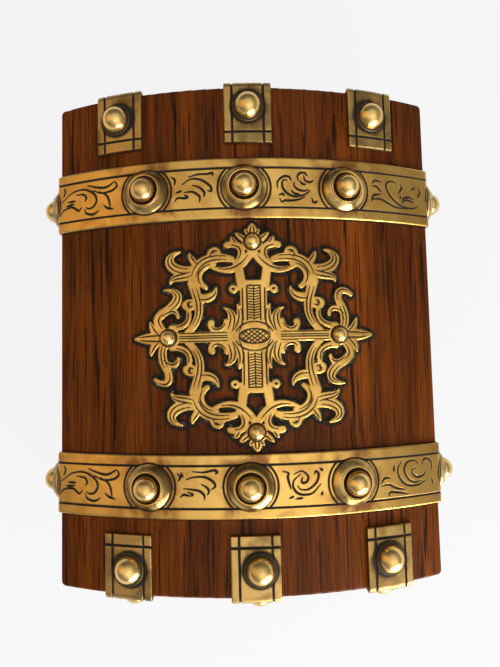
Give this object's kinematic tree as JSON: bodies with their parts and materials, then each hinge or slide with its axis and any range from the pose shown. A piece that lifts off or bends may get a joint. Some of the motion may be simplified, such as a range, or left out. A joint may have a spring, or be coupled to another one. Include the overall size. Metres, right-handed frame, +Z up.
{
  "type": "domed casket",
  "caption": "Barrel-domed wooden casket bound with engraved brass straps, end tabs and a pierced mount; the lid swings up on stop hinges over a lined, lockable inside.",
  "frame": {"origin": "middle of the underside, on the baize", "axes": "+X along the long side to the right-hand end, -Y out of the front where the keyhole is, +Z up"},
  "size_m": [0.2358, 0.193, 0.1285],
  "materials": {
    "rosewood": "french polished, dark streaks along the grain",
    "mahogany": "plain oiled",
    "engraved_brass": "worn polish, engraved lines dark with old polish",
    "sheet_brass": "worn polish with green-brown tarnish at the edges",
    "turned_brass": "bright turned and polished",
    "plain_brass": "filed and lacquered",
    "steel": "dull bright",
    "velvet": "deep red velvet on card",
    "quilted_silk": "quilted silk over wadding",
    "baize": "green baize"
  },
  "bodies": {
    "case": {"base_baize": "baize", "base_pad": "quilted_silk", "case_back": "rosewood", "case_floor": "mahogany", "case_front": "rosewood", "case_left_end": "rosewood", "case_lining_back": "velvet", "case_lining_front": "velvet", "case_lining_left": "velvet", "case_lining_right": "velvet", "case_right_end": "rosewood", "case_strap_back_left": "engraved_brass", "case_strap_back_right": "engraved_brass", "case_strap_front_left": "engraved_brass", "case_strap_front_right": "engraved_brass", "case_stud_collars": "turned_brass", "case_stud_heads": "turned_brass", "escutcheon_pins": "plain_brass", "hinge_leaf_case_left": "plain_brass", "hinge_leaf_case_right": "plain_brass", "hinge_pin_left": "steel", "hinge_pin_right": "steel", "hinge_screws_case": "steel", "keyhole_escutcheon": "plain_brass", "lock_cap": "plain_brass", "lock_plate": "plain_brass", "lock_screws": "steel", "lock_spring": "steel"},
    "lid": {"hinge_leaf_lid_left": "plain_brass", "hinge_leaf_lid_right": "plain_brass", "hinge_screws_lid": "steel", "lid_back_rail": "rosewood", "lid_front_rail": "rosewood", "lid_left_end": "rosewood", "lid_lining_back": "velvet", "lid_lining_front": "velvet", "lid_lining_left": "velvet", "lid_lining_right": "velvet", "lid_pad": "quilted_silk", "lid_panel": "rosewood", "lid_right_end": "rosewood", "lid_strap_left": "engraved_brass", "lid_strap_right": "engraved_brass", "lid_stud_collars": "turned_brass", "lid_stud_heads": "turned_brass", "link_plate_screws": "steel", "lock_link_plate": "plain_brass", "mount_studs": "turned_brass", "pierced_mount": "engraved_brass", "tab_left_back": "sheet_brass", "tab_left_front": "sheet_brass", "tab_left_middle": "sheet_brass", "tab_right_back": "sheet_brass", "tab_right_front": "sheet_brass", "tab_right_middle": "sheet_brass", "tab_studs": "turned_brass"},
    "bolt": {"lock_bolt": "steel"}
  },
  "joints": [
    {"name": "lid_hinge", "type": "hinge", "parent": "case", "child": "lid", "pos_m": [0, 0.0888, 0.076], "axis": [-1, 0, 0], "range_deg": [0, 95]},
    {"name": "bolt_slide", "type": "slide", "parent": "case", "child": "bolt", "axis": [1, 0, 0], "range_m": [0, 0.0045]}
  ]
}
